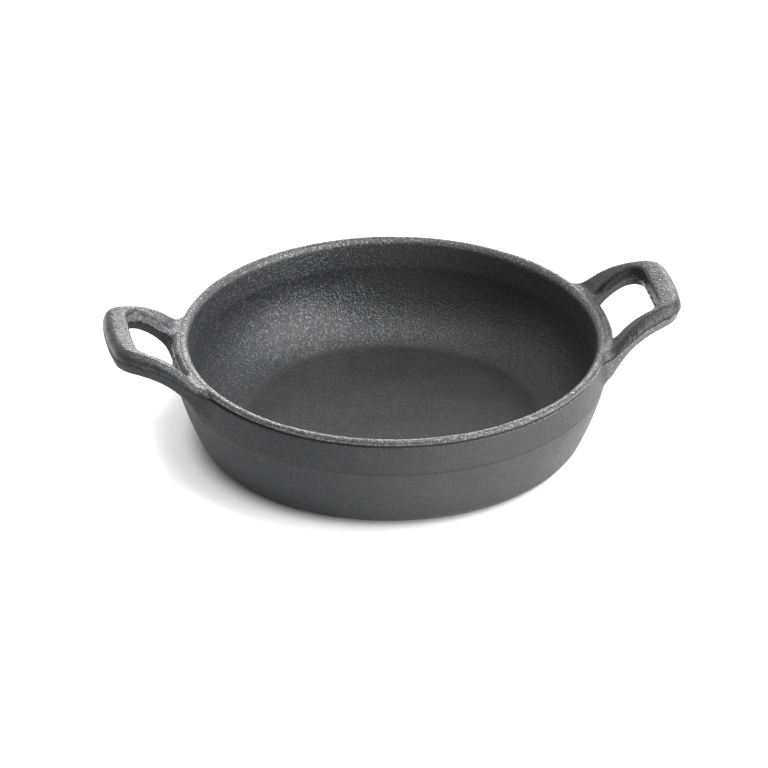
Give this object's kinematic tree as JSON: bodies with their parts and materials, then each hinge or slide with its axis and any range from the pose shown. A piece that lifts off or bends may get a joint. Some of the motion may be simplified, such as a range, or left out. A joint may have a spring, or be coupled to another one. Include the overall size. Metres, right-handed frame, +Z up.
{
  "type": "mini casserole dish",
  "caption": "Small round cast-iron casserole dish with a curved wall, flat floor and base, and raised loop handles at opposite sides of the rim.",
  "frame": {"origin": "centre of the bowl's flat underside", "axes": "+Z up along the bowl's axis, X through both handles, -Y towards the front"},
  "size_m": [0.1894, 0.141, 0.0469],
  "materials": {
    "bowl_iron": "dark grey sand-cast iron with a fine grain",
    "right_handle_iron": "dark grey sand-cast iron with a coarse grain",
    "left_handle_iron": "dark grey sand-cast iron with a coarse grain"
  },
  "bodies": {
    "root": {"bowl": "bowl_iron", "right_handle": "right_handle_iron", "left_handle": "left_handle_iron"}
  },
  "joints": []
}
